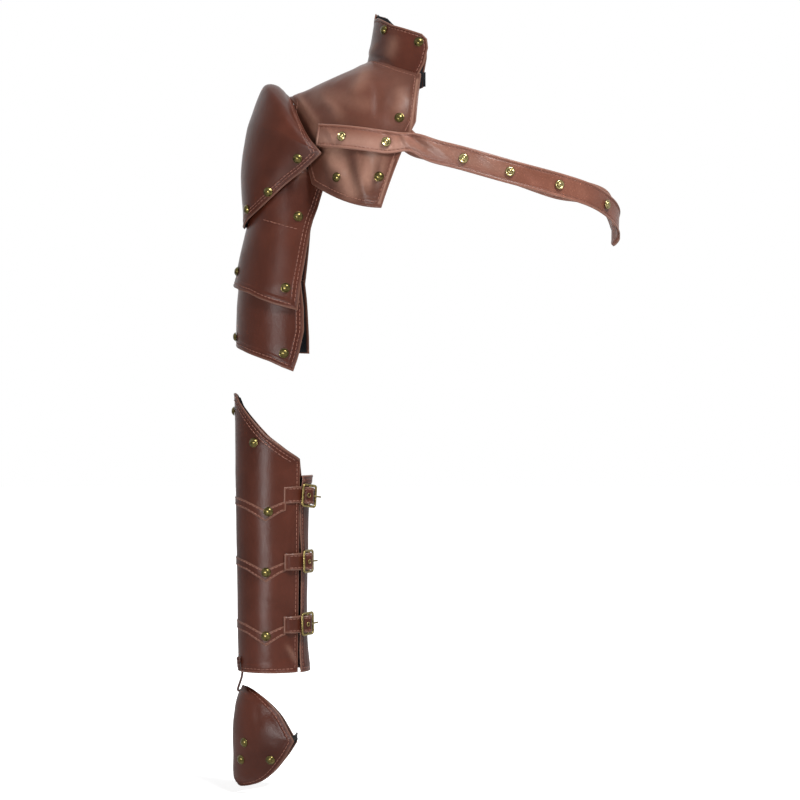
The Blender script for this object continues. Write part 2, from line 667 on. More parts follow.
def edgePlaces(edges):
    # places every half millimetre along the edges
    places = list(edges)
    for edge in edges:
        for a, b in zip(edge[:-1], edge[1:]):
            count = max(1, int(np.linalg.norm(b - a) / 0.5))
            places.append(a + (b - a) * (np.arange(count) / count)[:, None])
    return np.concatenate(places)


leatherShape = {"lip": 0.35, "lipWide": 0.7, "bandEdge": 0.9, "groove": 0.28, "grooveWide": 0.55,
                "edgeWaves": 0.25, "waveScale": 0.022, "ripple": 0.3, "rippleScale": 0.07, "rub": 0.7,
                "rubStart": 0.9, "rubWide": 2.6, "foldRub": 0.5, "foldEnds": 0.6, "angle": 50}
plainPanel = {"downAt": 0.5, "step": 2.4, "fineSides": True, "fineEnds": True, "plain": [], "welt": 2.6,
              "weltHigh": 0.45, "grooves": [], "seed": 1, "waves": 0.7, "calm": 9, "worn": 0.0,
              "creases": [], "patches": [], "out": 0.0, "thick": 1.6, "material": brownLeather,
              "slot": "brown_leather", "seams": [], "drawnSeams": [], "seamTrim": 2.0}
narrowPanel = {"step": 1.0, "waves": 0.0, "fineSides": False, "fineEnds": False}


def leatherPanel(name, pointAt, settings):
    # a thin sheet on the shape, with rolled edges, bands, creases and a wall
    s = {**leatherShape, **plainPanel, **settings}
    even, middle = np.linspace(0, 1, 41), np.full(41, 0.5)
    width = runOf(pointAt(middle, even))[-1]
    height = runOf(pointAt(even, np.full(41, s["downAt"])))[-1]
    print(name, "is a sheet of about", round(width), "by", round(height), "mm")
    vs = spread(width, s["step"], s["fineSides"])
    us = spread(height, s["step"], s["fineEnds"])
    pick()
    bpy.ops.mesh.primitive_grid_add(x_subdivisions=len(vs) - 1, y_subdivisions=len(us) - 1, size=2)
    piece = named(name)
    co = corners(piece)
    i = np.rint((1 - co[:, 1]) / 2 * (len(us) - 1)).astype(int)
    j = np.rint((co[:, 0] + 1) / 2 * (len(vs) - 1)).astype(int)
    gu, gv = np.meshgrid(us, vs, indexing="ij")
    base = pointAt(gu.ravel(), gv.ravel()).reshape(len(us), len(vs), 3)
    normals = np.cross(np.gradient(base, axis=0), np.gradient(base, axis=1))
    normals /= np.linalg.norm(normals, axis=-1, keepdims=True) + 1e-9
    sides = {"high": base[0], "low": base[-1], "left": base[:, 0], "right": base[:, -1]}
    border = edgePlaces([edge for key, edge in sides.items() if key not in s["plain"]])
    tree = kdtree.KDTree(len(border))
    for index, place in enumerate(border):
        tree.insert(place, index)
    tree.balance()
    flat = base.reshape(-1, 3)
    dist = np.array([tree.find(p)[2] for p in flat])
    half = s["welt"] / 2
    roll = np.clip(1 - ((dist - half) / half) ** 2, 0, 1)
    lift = s["weltHigh"] * np.sqrt(roll) - s["lip"] * np.clip(1 - dist / s["lipWide"], 0, 1) ** 2
    if "band" in s:
        wide, tall = s["band"]
        lift += tall * smoothStep((wide + 0.5 - dist) / s["bandEdge"])
    for offset in s["grooves"]:
        lift -= s["groove"] * bell(dist - offset, s["grooveWide"])
    calm = smoothStep(dist / s["calm"])
    swing = s["waves"] * (s["edgeWaves"] + (1 - s["edgeWaves"]) * calm)
    lift += swing * softNoise(flat, s["waveScale"], s["seed"])
    lift += s["ripple"] * s["waves"] * calm * softNoise(flat, s["rippleScale"], s["seed"] + 5)
    wear = np.maximum(np.clip(s["rubStart"] - dist / s["rubWide"], 0, 1) * s["rub"], s["worn"])
    for crease in s["creases"]:
        shape, along = drawnShare(flat, crease["photo"], crease["wide"])
        shape = shape * np.sin(np.pi * np.clip(along, 0.02, 0.98)) ** s["foldEnds"]
        lift += crease["high"] * shape * calm
        wear = np.maximum(wear, (s["worn"] + s["foldRub"] * shape) * (crease["high"] > 0))
    for patch in s["patches"]:
        wear = np.maximum(wear, patch["worn"] * drawnShare(flat, patch["photo"], patch["wide"])[0])
    out = flat + normals.reshape(-1, 3) * (lift + s["out"])[:, None]
    grid = out.reshape(base.shape)
    placeCorners(piece, grid[i, j])
    attribute = piece.data.attributes.new("wear", "FLOAT", "POINT")
    attribute.data.foreach_set("value", wear.reshape(base.shape[:2])[i, j])
    piece.data.update()
    applyModifier(piece, "SOLIDIFY", thickness=s["thick"] * mm, offset=-1)
    giveMaterial(piece, s["material"], s["angle"])
    return piece, grid, dist.reshape(base.shape[:2]), normals


def seamFrom(grid, dist, normals, side, offset, trim, sink=0.05):
    # the line that runs at a distance inside one side of a panel
    p, d, n = grid, dist, normals
    if side in ("low", "high"):
        p, d, n = np.swapaxes(p, 0, 1), d.T, np.swapaxes(n, 0, 1)
    if side in ("right", "low"):
        p, d, n = p[:, ::-1], d[:, ::-1], n[:, ::-1]
    places = []
    for row, rowDist, rowNormal in zip(p, d, n):
        past = np.nonzero(rowDist >= offset)[0]
        if len(past) == 0 or past[0] == 0:
            continue
        k = past[0]
        if rowDist[k] <= rowDist[k - 1]:
            continue
        f = (offset - rowDist[k - 1]) / (rowDist[k] - rowDist[k - 1])
        places.append(row[k - 1] + (row[k] - row[k - 1]) * f + rowNormal[k] * sink)
    line = np.array(places)
    if len(line) > 4:
        run = runOf(line)
        line = line[(run > trim) & (run < run[-1] - trim)]
    return line


def seamAlong(grid, normals, photoLine, sink=0.05):
    # a seam drawn in the picture's own places, laid on the side of the panel that shows
    line = np.array(photoLine, float)
    run = runOf(line)
    line = placesAt(line, run, np.linspace(0, run[-1], max(3, int(run[-1] / 1.5))))
    flat, n = grid.reshape(-1, 3), normals.reshape(-1, 3)
    shown = flat[:, 1] < 0
    flat, n = flat[shown], n[shown]
    places = []
    for place in line:
        away = np.linalg.norm(seenFrom(flat) - place, axis=1)
        near = np.argsort(away)[:4]
        weight = 1 / (away[near] + 0.05)
        weight = (weight / weight.sum())[:, None]
        places.append((flat[near] * weight).sum(0) + (n[near] * weight).sum(0) * sink)
    return np.array(places)


stitchShape = {"pitch": 4.2, "long": 3.3, "thick": 0.85, "body": 0.7, "tip": 0.15, "narrow": 0.45}


def oneStitch():
    # a short thread along the x axis, with ends drawn out and narrowed
    s = stitchShape
    pick()
    size = {"radius": s["thick"] / 2 * mm, "depth": s["long"] * mm * s["body"]}
    place = {"location": (s["pitch"] / 2 * mm, 0, 0), "rotation": (0, math.pi / 2, 0)}
    bpy.ops.mesh.primitive_cylinder_add(vertices=6, **size, **place)
    stitch = bpy.context.object
    bpy.ops.object.transform_apply(location=True, rotation=True, scale=True)
    bpy.ops.object.mode_set(mode="EDIT")
    bpy.ops.mesh.select_mode(type="FACE")
    bpy.ops.mesh.select_all(action="DESELECT")
    bpy.ops.object.mode_set(mode="OBJECT")
    for face in stitch.data.polygons:
        face.select = abs(face.normal.x) > 0.9
    bpy.ops.object.mode_set(mode="EDIT")
    bpy.ops.mesh.extrude_faces_move(TRANSFORM_OT_shrink_fatten={"value": s["long"] * mm * s["tip"]})
    bpy.ops.object.mode_set(mode="OBJECT")
    for face in stitch.data.polygons:
        if abs(face.normal.x) > 0.9:
            places = [stitch.data.vertices[v].co for v in face.vertices]
            centre = sum(places, Vector()) / len(places)
            for place in places:
                place.y = centre.y + (place.y - centre.y) * s["narrow"]
                place.z = centre.z + (place.z - centre.z) * s["narrow"]
    stitch.data.update()
    return stitch


def stitchRow(lines, name):
    # one stitch is modelled, repeated by an array and bent along each seam
    made = []
    for line in lines:
        if len(line) < 3:
            continue
        run = runOf(line)
        apart = np.concatenate([[True], np.diff(run) > 0.05])
        line, run = line[apart], run[apart]
        count = int(run[-1] / stitchShape["pitch"])
        if count < 2:
            continue
        even = placesAt(line, run, np.linspace(0, run[-1], count * 3))
        data = bpy.data.curves.new("seam", "CURVE")
        data.dimensions = "3D"
        spline = data.splines.new("POLY")
        spline.points.add(len(even) - 1)
        spline.points.foreach_set("co", np.concatenate([even * mm, np.ones((len(even), 1))], 1).ravel())
        guide = bpy.data.objects.new("seam", data)
        bpy.context.collection.objects.link(guide)
        stitch = oneStitch()
        applyModifier(stitch, "ARRAY", fit_type="FIXED_COUNT", count=count, use_relative_offset=False,
                      use_constant_offset=True, constant_offset_displace=(run[-1] / count * mm, 0, 0))
        applyModifier(stitch, "CURVE", object=guide, deform_axis="POS_X")
        bpy.data.objects.remove(guide)
        made.append(stitch)
    return giveMaterial(joined(name, made), threadMaterial) if made else None


def finishPiece(piece, body, slot, *nodes):
    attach(piece, body)
    if nodes:
        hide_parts(*nodes)


def sewnPanel(name, pointAt, body, nodes, settings):
    s = {**plainPanel, **settings}
    piece, grid, dist, normals = leatherPanel(name, pointAt, s)
    finishPiece(piece, body, s["slot"], *nodes)
    seams = [seamFrom(grid, dist, normals, side, offset, s["seamTrim"]) for side, offset in s["seams"]]
    seams += [seamAlong(grid, normals, line) for line in s["drawnSeams"]]
    finishPiece(stitchRow(seams, name + "Stitches"), body, s["slot"])
    print(name, "made,", len(piece.data.polygons), "faces")


liningSettings = {**narrowPanel, "step": 3.4, "welt": 0.6, "weltHigh": 0.0, "out": -1.78, "thick": 0.75,
                  "material": blackCloth}
liningInset = 0.012


def linedPanel(name, pointAt, body, node, lining, settings):
    # the leather, and its lining a little way in from the edges, in the same folds
    sewnPanel(name + "Leather", pointAt, body, [node], settings)
    like = {key: settings[key] for key in ("seed", "waves", "creases") if key in settings}

    def inside(u, v):
        return pointAt(liningInset + (1 - 2 * liningInset) * u, liningInset + (1 - 2 * liningInset) * v)
    cloth = leatherPanel(name + "Cloth", inside, {**liningSettings, **like})[0]
    finishPiece(cloth, body, "black_lining", lining)


def crease(wide, high, *photo):
    # a fold, or a hollow where high is below 0, along places in the picture's pixels
    return {"photo": photo, "wide": wide, "high": high}


def rubbed(wide, worn, *photo):
    # a rubbed patch along places in the picture's pixels
    return {"photo": photo, "wide": wide, "worn": worn}


# the leather pieces
yokeSettings = {"seed": 3, "worn": 0.15, "waves": 1.3, "step": 2.2, "grooves": [5.6], "downAt": 0.6,
    "band": (7.2, 0.35), "seams": [("left", 5.6), ("right", 5.6), ("low", 5.6), ("high", 5.6)],
    "patches": [rubbed(11, 1.1, (334, 152), (340, 170), (352, 190)), rubbed(10, 1.0, (372, 158), (366, 180)),
        rubbed(12, 0.4, (318, 98), (346, 98), (364, 104)),
        rubbed(6, 0.8, (302, 104), (314, 122), (320, 140)), rubbed(1.7, 0.9, (417.5, 80), (410.5, 131)),
        rubbed(1.7, 0.9, (393, 160), (379.5, 203))],
    "creases": [crease(7, 1.8, (366, 64), (362, 80), (352, 96)),
        crease(6, 1.5, (318, 92), (334, 106), (342, 121)), crease(7, 0.8, (399, 84), (402, 100), (396, 116)),
        crease(5, -1.3, (372, 76), (378, 96), (376, 120)),
        crease(6, 2.2, (326, 156), (333, 168), (346, 172)),
        crease(5, -1.8, (346, 150), (348, 172), (354, 200)),
        crease(5, 2.6, (358, 150), (360, 172), (366, 198)),
        crease(4.5, -1.7, (371, 150), (372, 172), (370, 196)),
        crease(4.5, 1.4, (384, 150), (383, 166), (378, 184)),
        crease(4, 1.6, (296, 92), (306, 108), (318, 124))]}
linedPanel("yoke", yokePoint, "harness", "yoke", "yoke_lining", yokeSettings)

collarSettings = {"seed": 5, "waves": 0.5, "step": 2.2, "grooves": [3.4], "plain": ["low"],
    "seams": [("left", 3.4), ("right", 3.4), ("high", 3.4)],
    "creases": [crease(3, 1.0, (377, 42), (372, 50), (368, 57)),
        crease(2.6, -1.0, (366, 56), (380, 58), (392, 66)), crease(6, 0.3, (388, 60), (392, 46), (394, 34))]}
linedPanel("collar", collarPoint, "harness", "collar", "collar_lining", collarSettings)

capSettings = {"seed": 8, "waves": 0.7, "step": 2.2, "band": (8.0, 0.35), "grooves": [4.6, 7.0],
    "seams": [("left", 4.6), ("right", 4.6), ("left", 7.0), ("right", 7.0)], "fineEnds": False}
linedPanel("cap", capPoint, "pauldron", "cap", "cap_lining", capSettings)

upperSettings = {"seed": 11, "waves": 0.7, "step": 2.4, "band": (8.0, 0.3), "grooves": [4.2],
    "seams": [("left", 4.2), ("right", 4.2), ("low", 4.2), ("right", 7.6), ("left", 7.6)],
    "drawnSeams": [[(263, 219.5), (280, 224.5), (297, 229)]],
    "creases": [crease(5, 1.6, (296, 146), (299, 162), (300, 180)),
        crease(4, -1.1, (287, 160), (292, 178), (293, 196))]}
linedPanel("upper", upperPoint, "pauldron", "upper_plate", "upper_lining", upperSettings)

lowerSettings = {"seed": 13, "waves": 0.7, "step": 2.4, "band": (8.0, 0.3), "grooves": [4.2],
    "seams": [("left", 4.2), ("right", 4.2), ("low", 4.2), ("right", 7.6), ("left", 7.6)]}
linedPanel("lower", lowerPoint, "lower_arm_plate", "lower_plate", "lower_lining", lowerSettings)

bracerSettings = {"seed": 17, "waves": 0.6, "step": 2.6, "band": (8.0, 0.3), "grooves": [4.0],
    "seams": [("left", 4.0), ("right", 4.0), ("low", 4.0), ("high", 4.0), ("high", 7.4)],
    "creases": [crease(2.4, 1.3, (286, 644), (292, 654), (297, 664)),
        crease(2.0, -1.0, (291, 636), (295, 646), (298, 656)),
        crease(2.4, -0.9, (280, 660), (288, 657), (296, 660)),
        crease(1.2, -0.3, (262, 525), (272, 528), (280, 526)),
        crease(1.2, -0.3, (260, 532), (270, 536), (282, 533)),
        crease(1.4, -0.3, (262, 600), (272, 603), (284, 600))]}
linedPanel("bracer", bracerPoint, "bracer_body", "bracer", "bracer_lining", bracerSettings)

guardSettings = {"seed": 19, "waves": 0.8, "step": 1.8, "band": (6.5, 0.25), "grooves": [4.4],
    "seams": [("left", 4.4), ("right", 4.4)], "fineEnds": False,
    "creases": [crease(6, -0.5, (255, 722), (263, 717), (275, 714)),
        crease(4, -0.5, (252, 692), (256, 708), (257, 730))]}
linedPanel("guard", guardPoint, "guard", "hand_guard", "guard_lining", guardSettings)

strapSettings = {"seed": 23, "waves": 1.1, "step": 2.0, "grooves": [3.3], "calm": 4.5,
    "patches": [rubbed(9, 0.85, (318, 138), (350, 142), (400, 146)),
        rubbed(8, 0.4, (400, 146), (430, 146), (472, 160), (505, 170))],
    "creases": [crease(3, 1.4, (398, 126), (404, 138), (410, 148)),
        crease(2.8, -1.5, (408, 130), (416, 141), (428, 150)),
        crease(4, 1.2, (420, 134), (434, 146), (452, 158)),
        crease(3, -1.0, (386, 128), (388, 138), (392, 148)),
        crease(4, 1.0, (476, 148), (488, 160), (500, 170)),
        crease(3.5, 1.0, (326, 128), (332, 136), (334, 144)),
        crease(3.5, -0.9, (526, 166), (534, 176), (540, 186))], "thick": 2.0, "slot": "strap_leather",
    "material": strapLeather, "seams": [("high", 3.3), ("low", 3.3)], "weltHigh": 0.55, "welt": 2.8}
sewnPanel("strapLeather", strapPoint, "harness", ["chest_strap"], strapSettings)

# stitched bands that dip under the bracer's rivets
bandShape = {"z": [-370, -430, -493], "off": 0.75, "front": 66.0, "back": 285.0,
    "high": [[-60, 17], [-41, 11], [-21.7, 2], [-6, 8.5], [2, 11]],
    "low": [[-60, 8], [-41, 2], [-20.5, -10], [-6, -1], [2, 2]]}
bandSettings = {**narrowPanel, "welt": 1.2, "weltHigh": 0.15, "thick": 0.7, "grooves": [1.6],
                "seams": [("high", 1.6), ("low", 1.6)], "seamTrim": 1.0}


def bandPoint(z0):
    def pointAt(u, v):
        s = bandShape
        a = np.radians(s["back"] + (s["front"] - s["back"]) * v)
        x = bracerShape["x"] + bracerShape["outlineR"] * np.cos(a)
        high, low = lookUp(s["high"], x), lookUp(s["low"], x)
        z = z0 + high + (low - high) * u
        return roundBracer(bracerRadius(z) + s["off"], a, z)
    return pointAt


for number, bandZ in enumerate(bandShape["z"]):
    replaced = [] if number else ["bracer_bands"]
    sewnPanel("band" + str(number + 1), bandPoint(bandZ), "bracer_body", replaced, bandSettings)


# buckles with folded chapes, threaded billets and prongs
buckleShape = {"z": [-355, -420, -482], "angle": 28.0, "turn": [11, -4, 3], "tilt": [7, 0, -2], "seat": 0.3,
               "chapeT": 1.0, "gap": 0.3, "billetT": 1.6, "wireD": 2.4, "slack": 0.4, "half": 9.5,
               "stripW": 17.0, "corner": 2.2, "body": ["top_prong", "middle_prong", "low_prong"],
               "holeTurn": 5.2, "holeR": 1.9, "eyeR": 0.55, "frameR": 1.35, "frameFlat": 0.8, "prongR": 0.85,
               "loopR": 0.5, "loopWide": 1.9, "play": 0.1, "stiff": 9, "reach": 13.0}
upward = np.array([0, 0, 1.0])


def wireSeat():
    # how far the middle of the wire stands off the bracer
    b = buckleShape
    return b["seat"] + 2 * b["chapeT"] + b["gap"] + b["billetT"] + b["wireD"] / 2 + b["slack"]


def stripRadius(k):
    return bracerRadius(buckleShape["z"][k] + buckleShape["stripW"] / 2)


def outAndSide(degrees):
    # straight out of the bracer at an angle, and towards its front flap
    a = math.radians(degrees)
    return np.array([math.cos(a), -math.sin(a), 0]), np.array([-math.sin(a), -math.cos(a), 0])


def buckleCentre(k, out, off):
    return np.array([bracerShape["x"], 0, buckleShape["z"][k]]) + out * (stripRadius(k) + off)


def turnBuckle(k, points, whole=False):
    # the hardware and the leather near it stand a little askew, as the pull of the straps left them
    b = buckleShape
    out, side = outAndSide(b["angle"])
    centre = buckleCentre(k, out, wireSeat())
    p = np.asarray(points, float) - centre
    x, y, z = p @ side, p @ out, p[..., 2]
    fade = np.ones_like(x) if whole else bell(np.maximum(0, np.abs(x) - b["stiff"]), b["reach"])
    turn, tilt = np.radians(-b["turn"][k]) * fade, np.radians(b["tilt"][k]) * fade
    x, y = x * np.cos(turn) - y * np.sin(turn), x * np.sin(turn) + y * np.cos(turn)
    x, z = x * np.cos(tilt) - z * np.sin(tilt), x * np.sin(tilt) + z * np.cos(tilt)
    return centre + x[..., None] * side + y[..., None] * out + z[..., None] * upward


def bucklePlace(k, x, z, out=0.0):
    # from the buckle's own plane to the frame: x towards the front flap, z upwards, out off the strap
    outDir, side = outAndSide(buckleShape["angle"])
    x, z, out = np.asarray(x, float), np.asarray(z, float), np.asarray(out, float)
    place = buckleCentre(k, outDir, wireSeat()) + x[..., None] * side + z[..., None] * upward
    return turnBuckle(k, place + out[..., None] * outDir, True)


def stripPoint(k, path, wide):
    def pointAt(u, v):
        q = curveAt(path, 1 - v)
        a = np.radians(buckleShape["angle"] + q[:, 0])
        return turnBuckle(k, roundBracer(stripRadius(k) + q[:, 1], a, buckleShape["z"][k] + (0.5 - u) * wide))
    return pointAt


def ballRings(name, sides, count):
    # a sphere to be drawn out into another form, with the ring and the turn of each corner
    pick()
    bpy.ops.mesh.primitive_uv_sphere_add(segments=sides, ring_count=count - 1, radius=1)
    piece = named(name)
    co = corners(piece)
    ring = np.rint(np.arccos(np.clip(co[:, 2], -1, 1)) / np.pi * (count - 1)).astype(int)
    return piece, ring, np.arctan2(co[:, 1], co[:, 0])[:, None]


def tubePiece(name, line, radius, material, sides=14, step=1.0):
    # a round bar along a line with rounded ends, shaped from a sphere
    line = np.asarray(line, float)
    run = runOf(line)
    caps = np.radians([0, 25, 50, 72, 90])
    middle = np.linspace(radius, run[-1] - radius, max(2, int((run[-1] - 2 * radius) / step)))[1:-1]
    start = radius * (1 - np.cos(caps))
    places = np.concatenate([start, middle, run[-1] - start[::-1]])
    sizes = np.concatenate([np.sin(caps), np.ones(len(middle)), np.sin(caps[::-1])])[:, None] * radius
    at = placesAt(line, run, places)
    ahead = unit(np.gradient(at, axis=0))
    side = np.cross(ahead[0], [0.31, 0.87, 0.39])
    turned = []
    for t in ahead:
        side = unit(side - t * (side @ t))
        turned.append(side)
    first = np.array(turned)
    second = np.cross(first, ahead)
    piece, ring, turn = ballRings(name, sides, len(places))
    placeCorners(piece, at[ring] + sizes[ring] * (first[ring] * np.cos(turn) + second[ring] * np.sin(turn)))
    return giveMaterial(piece, material)


def loopPiece(name, centres, outward, radius, material, sides=12, flat=1.0):
    # a closed wire through a ring of places, shaped from a torus
    count, thin = len(centres), 0.2
    pick()
    bpy.ops.mesh.primitive_torus_add(major_segments=count, minor_segments=sides, major_radius=1,
                                     minor_radius=thin)
    piece = named(name)
    co = corners(piece)
    k = np.rint(np.arctan2(co[:, 1], co[:, 0]) / (2 * np.pi) * count).astype(int) % count
    radial = (np.hypot(co[:, 0], co[:, 1]) - 1) / thin
    ahead = unit(np.roll(centres, -1, 0) - np.roll(centres, 1, 0))
    outward = unit(outward - ahead * (outward * ahead).sum(1, keepdims=True))
    up = np.cross(outward, ahead)
    high = (co[:, 2] / thin * flat)[:, None]
    placeCorners(piece, centres[k] + radius * (outward[k] * radial[:, None] + up[k] * high))
    return giveMaterial(piece, material)


def lathePiece(name, profile, material, sides=28):
    # a turned piece standing on the z axis: [radius, height] from the top down
    profile = np.asarray(profile, float)
    piece, ring, turn = ballRings(name, sides, len(profile))
    r = profile[ring, :1]
    placeCorners(piece, np.concatenate([r * np.cos(turn), r * np.sin(turn), profile[ring, 1:]], 1))
    return giveMaterial(piece, material, 35)


def buckleFrameLine():
    # a rectangle with round corners in the buckle's own plane, and the way out of it at each place
    b = buckleShape
    wide, tall, corner = b["half"], b["stripW"] / 2 + b["wireD"] / 2 + 0.6, b["corner"]
    points, outward = [], []
    for cx, cz, start in ((1, 1, 0), (-1, 1, 90), (-1, -1, 180), (1, -1, 270)):
        for step in range(7):
            a = math.radians(start + 15 * step)
            d = np.array([math.cos(a), math.sin(a)])
            points.append([cx * (wide - corner) + corner * d[0], cz * (tall - corner) + corner * d[1]])
            outward.append(d)
    return np.array(points), np.array(outward)


def buckleSet(k):
    b = buckleShape
    number = str(k + 1)
    points, outward = buckleFrameLine()
    centres = bucklePlace(k, points[:, 0], points[:, 1])
    away = bucklePlace(k, points[:, 0] + outward[:, 0], points[:, 1] + outward[:, 1]) - centres
    frameLoop = loopPiece("buckleFrame" + number, centres, away, b["frameR"], frameBrass, flat=b["frameFlat"])
    reach = b["stripW"] / 2 + b["wireD"] / 2
    heights = np.linspace(-reach, reach, 9)
    barLine = bucklePlace(k, 0 * heights, heights)
    bar = tubePiece("buckleBar" + number, barLine, b["wireD"] / 2 - 0.05, frameBrass)
    wire = joined("buckleWire" + number, [frameLoop, bar])
    finishPiece(wire, "bracer_body", "antique_brass", "buckle_" + number)
    # prong: a loop round the bar and a tapered pin over the far bar
    turns = np.radians(np.arange(0, 360, 15))
    size = b["wireD"] / 2 + 0.55
    ring = bucklePlace(k, size * np.cos(turns), 0 * turns, size * np.sin(turns))
    ringOut = ring - bucklePlace(k, 0.0, 0.0)
    loop = loopPiece("prongLoop" + number, ring, ringOut, b["loopR"], frameBrass, sides=8, flat=b["loopWide"])
    pin = [[-1.4, 0.9], [-3, 1.9], [-5.5, 2.5], [-8, 2.7], [-10.5, 2.75], [-13, 2.7], [-14.8, 2.5]]
    pinLine = curveAt(pin, np.linspace(0, 1, 19))
    pinLine = bucklePlace(k, pinLine[:, 0], 0 * pinLine[:, 0], pinLine[:, 1])
    pinBar = tubePiece("prongPin" + number, pinLine, b["prongR"], frameBrass, sides=10)
    prong = joined("prong" + number, [loop, pinBar])
    finishPiece(prong, b["body"][k], "antique_brass", "prong_" + number)
    # chape: a strip folded round the bar with both ends on the front flap
    t = b["chapeT"]
    w, g, lift = wireSeat(), b["wireD"] / 2 + b["play"] + t / 2, b["seat"] + t / 2
    path = [[29, lift], [20, lift], [10, lift], [5.5, lift + 0.6], [2.5, w - 0.6 * g - 1.4], [0, w - g],
            [-1.7, w - 0.72 * g], [-2.4, w], [-1.7, w + 0.72 * g], [0, w + g], [1.7, w + 0.72 * g],
            [3, w - 0.3], [5, w - 2.1], [8, lift + 1.75], [12, lift + t + 0.15], [20, lift + t + 0.1],
            [29, lift + t + 0.1]]
    chapeSettings = {**narrowPanel, "welt": 0.8, "weltHigh": 0.1, "thick": t * 0.9, "out": t * 0.45}
    chape = leatherPanel("chape" + number, stripPoint(k, path, b["stripW"]), chapeSettings)[0]
    finishPiece(chape, "bracer_body", "brown_leather", "chape_" + number)
    # billet: the buckled strap, stitched along its edges
    top = w + b["wireD"] / 2 + b["play"] + t + 2 * b["play"] + b["billetT"] / 2
    low = b["seat"] + b["billetT"] / 2
    over = low + 2 * t + b["gap"]
    path = [[-58, low], [-45, low], [-35, low], [-27, low + 0.3], [-20, low + 2.2], [-14.5, w - 1.8],
            [-9, w - 1.0], [-5, top - 1.3], [0, top], [5, top - 1.2], [8.5, w - 0.4], [12, over + 0.3],
            [16, over], [22, over], [28, over - 0.1], [32, over - 0.9], [36, low + 0.2], [41, low]]
    billetSettings = {**narrowPanel, "welt": 1.8, "weltHigh": 0.3, "waves": 0.25, "seed": 30 + k,
                      "thick": b["billetT"] * 0.9, "out": b["billetT"] * 0.4, "grooves": [2.4]}
    shape = stripPoint(k, path, b["stripW"] - 0.6)
    piece, grid, dist, normals = leatherPanel("billet" + number, shape, billetSettings)
    finishPiece(piece, "bracer_body", "brown_leather", "billet_" + number)
    seams = [seamFrom(grid, dist, normals, side, 2.4, 1.5) for side in ("high", "low")]
    finishPiece(stitchRow(seams, "billetStitches" + number), "bracer_body", "brown_leather")
    # brass eyelet on the strap between the bars
    outDir, side = outAndSide(b["angle"] + b["holeTurn"])
    spokes = np.cos(turns)[:, None] * side + np.sin(turns)[:, None] * upward
    hole = turnBuckle(k, buckleCentre(k, outDir, top + b["billetT"] * 0.15) + b["holeR"] * spokes)
    eye = loopPiece("eyelet" + number, hole, spokes, b["eyeR"], frameBrass, sides=8)
    finishPiece(eye, "bracer_body", "antique_brass")


for buckle in range(3):
    buckleSet(buckle)
print("buckles made")


# rivets and studs: one turned piece, copied to each place of the CAD node
rivetShape = {
    "dome": [[0, 2.75], [1.1, 2.68], [2.1, 2.42], [3.0, 1.98], [3.7, 1.35], [4.1, 0.75], [4.3, 0.5],
        [4.62, 0.42], [4.75, 0.2], [4.72, 0], [4.2, -0.12], [1.5, -0.12]],
    "stud": [[0, 2.5], [0.9, 2.42], [1.8, 2.1], [2.35, 1.55], [2.6, 1.1], [2.95, 1.25], [3.5, 1.5],
        [4.1, 1.3], [4.6, 0.75], [4.75, 0.2], [4.7, 0], [4.2, -0.12], [1.5, -0.12]], "lift": 0.35,
    "shank": 1.5, "washer": 2.55, "spin": 1.7, "washerT": 0.9}


def islandsOf(node):
    # the separate rivets of a node, each as its vertex places in millimetres
    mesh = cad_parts[node].data
    world = np.array(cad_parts[node].matrix_world)
    co = (corners(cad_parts[node]) @ world[:3, :3].T + world[:3, 3]) / mm
    keys = {}
    same = np.array([keys.setdefault(tuple(np.round(v, 3)), len(keys)) for v in co])
    owner = list(range(len(keys)))

    def root(i):
        while owner[i] != i:
            owner[i] = owner[owner[i]]
            i = owner[i]
        return i
    for polygon in mesh.polygons:
        ids = [root(same[v]) for v in polygon.vertices]
        for other in ids[1:]:
            owner[root(other)] = root(ids[0])
    unique = np.zeros((len(keys), 3))
    unique[same] = co
    roots = np.array([root(i) for i in range(len(keys))])
    return [unique[roots == r] for r in np.unique(roots)]


def rivetPlaces(node):
    # middle of each dome's foot, the way it points and how deep its shank goes
    places = []
    for points in islandsOf(node):
        centre = points.mean(0)
        values, vectors = np.linalg.eigh(np.cov((points - centre).T))
        odd = 0 if values[1] - values[0] > values[2] - values[1] else 2
        axis = vectors[:, odd]
        along = (points - centre) @ axis
        away = np.linalg.norm(points - centre - along[:, None] * axis, axis=1)
        rim = along[away > away.max() - 0.05].mean()
        if rim < (along.max() + along.min()) / 2:
            axis, along, rim = -axis, -along, -rim
        places.append((centre + axis * rim, axis, rim - along.min()))
    return places


def rivetSet(name, node, body, kind, material):
    s = rivetShape
    copies = []
    for index, (foot, axis, deep) in enumerate(rivetPlaces(node)):
        if index == 0:
            seat = -deep + s["washerT"] - s["lift"]
            tail = [[s["shank"], seat], [2.5, seat], [s["washer"], -deep], [0, -deep]]
            copy = lathePiece(name, s[kind] + tail, material)
            pattern, firstDeep = copy.data.copy(), deep
        else:
            copy = copies[0].copy()
            copy.data = pattern.copy()
            bpy.context.collection.objects.link(copy)
        co = corners(copy) / mm
        co[co[:, 2] < -0.5, 2] -= deep - firstDeep
        spin = index * s["spin"]
        cosine, sine = math.cos(spin), math.sin(spin)
        turn = np.array([[cosine, -sine, 0], [sine, cosine, 0], [0, 0, 1]])
        stand = np.array(Vector(axis).to_track_quat("Z", "Y").to_matrix())
        placeCorners(copy, (co @ turn.T) @ stand.T + foot + axis * s["lift"])
        copies.append(copy)
    finishPiece(joined(name, copies), body, "antique_brass", node)


